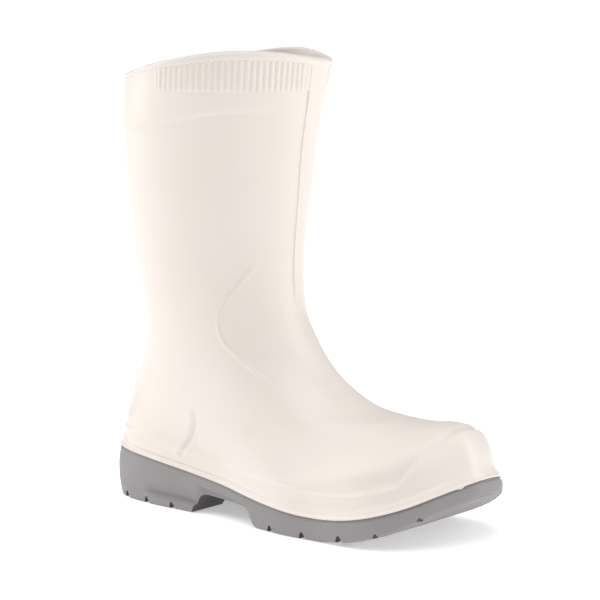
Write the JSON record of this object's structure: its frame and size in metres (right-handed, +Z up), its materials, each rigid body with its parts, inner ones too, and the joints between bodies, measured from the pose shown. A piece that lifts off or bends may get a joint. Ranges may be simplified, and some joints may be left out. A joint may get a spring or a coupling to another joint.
{
  "type": "pu work boot",
  "caption": "Right mid-calf work boot moulded in white polyurethane, with a ribbed collar and a grey outsole with a heel block, an arch, toe spring and a notched tread.",
  "frame": {"origin": "centre of the overall bounding box in plan, on the floor plane the treads stand on", "axes": "+Z up the shaft, -Y towards the toe, +Y towards the heel, +X towards the inner side of the foot"},
  "size_m": [0.1338, 0.3057, 0.3089],
  "materials": {
    "upper": "satin",
    "outsole": "matt",
    "insole": "woven"
  },
  "bodies": {
    "root": {"upper": "upper", "outsole": "outsole", "insole": "insole"}
  },
  "joints": []
}
